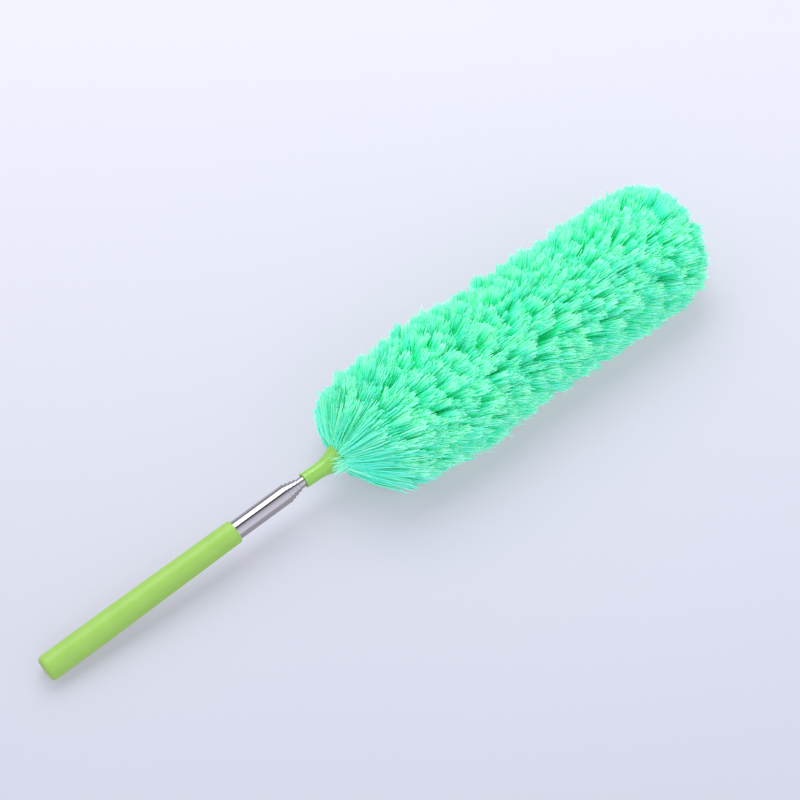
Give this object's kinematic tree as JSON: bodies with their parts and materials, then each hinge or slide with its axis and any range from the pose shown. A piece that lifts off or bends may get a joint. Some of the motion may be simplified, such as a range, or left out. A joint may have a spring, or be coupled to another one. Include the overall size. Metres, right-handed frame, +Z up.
{
  "type": "duster",
  "caption": "Telescopic fibre duster: moulded grip, nested polished steel tubes that slide and swivel, trumpet collar and a soft cylindrical head on a twisted wire core.",
  "frame": {"origin": "centre of the duster's box on the floor it lies on, z = 0 at the floor", "axes": "+X along the head from the grip end to the tip, +Z up; the pole slopes down towards -X until the butt of the grip touches the floor"},
  "size_m": [0.5342, 0.1038, 0.0794],
  "materials": {
    "grip_plastic": "satin",
    "collar_plastic": "gloss",
    "polished_steel": "polished",
    "spring_brass": "satin",
    "plug_plastic": "matte",
    "galvanised_wire": "satin",
    "mint_fibre": "matte"
  },
  "bodies": {
    "handle": {"grip_sleeve": "grip_plastic", "outer_tube": "polished_steel", "rear_plug": "plug_plastic"},
    "section_2": {"tube_section_2": "polished_steel", "friction_sleeve_2": "spring_brass"},
    "section_3": {"tube_section_3": "polished_steel", "friction_sleeve_3": "spring_brass"},
    "section_4": {"tube_section_4": "polished_steel", "friction_sleeve_4": "spring_brass"},
    "glide_5": {"friction_sleeve_5": "spring_brass"},
    "head": {"tube_section_5": "polished_steel", "collar": "collar_plastic", "core_plug": "plug_plastic", "core_wire_a": "galvanised_wire", "core_wire_b": "galvanised_wire", "tip_cap": "plug_plastic", "fibre_tuft_01": "mint_fibre", "fibre_tuft_02": "mint_fibre", "fibre_tuft_03": "mint_fibre", "fibre_tuft_04": "mint_fibre", "fibre_tuft_05": "mint_fibre", "fibre_tuft_06": "mint_fibre", "fibre_tuft_07": "mint_fibre", "fibre_tuft_08": "mint_fibre", "fibre_tuft_09": "mint_fibre", "fibre_tuft_10": "mint_fibre", "fibre_tuft_11": "mint_fibre", "fibre_tuft_12": "mint_fibre", "fibre_tuft_13": "mint_fibre", "fibre_tuft_14": "mint_fibre"}
  },
  "joints": [
    {"name": "slide_2", "type": "slide", "parent": "handle", "child": "section_2", "axis": [0.9958, 0, 0.0918], "range_m": [0, 0.156]},
    {"name": "slide_3", "type": "slide", "parent": "section_2", "child": "section_3", "axis": [0.9958, 0, 0.0918], "range_m": [0, 0.1583]},
    {"name": "slide_4", "type": "slide", "parent": "section_3", "child": "section_4", "axis": [0.9958, 0, 0.0918], "range_m": [0, 0.1607]},
    {"name": "slide_5", "type": "slide", "parent": "section_4", "child": "glide_5", "axis": [0.9958, 0, 0.0918], "range_m": [0, 0.1631]},
    {"name": "swivel", "type": "hinge", "parent": "glide_5", "child": "head", "pos_m": [-0.06197, 0, 0.0275], "axis": [0.9958, 0, 0.0918], "continuous": true}
  ]
}
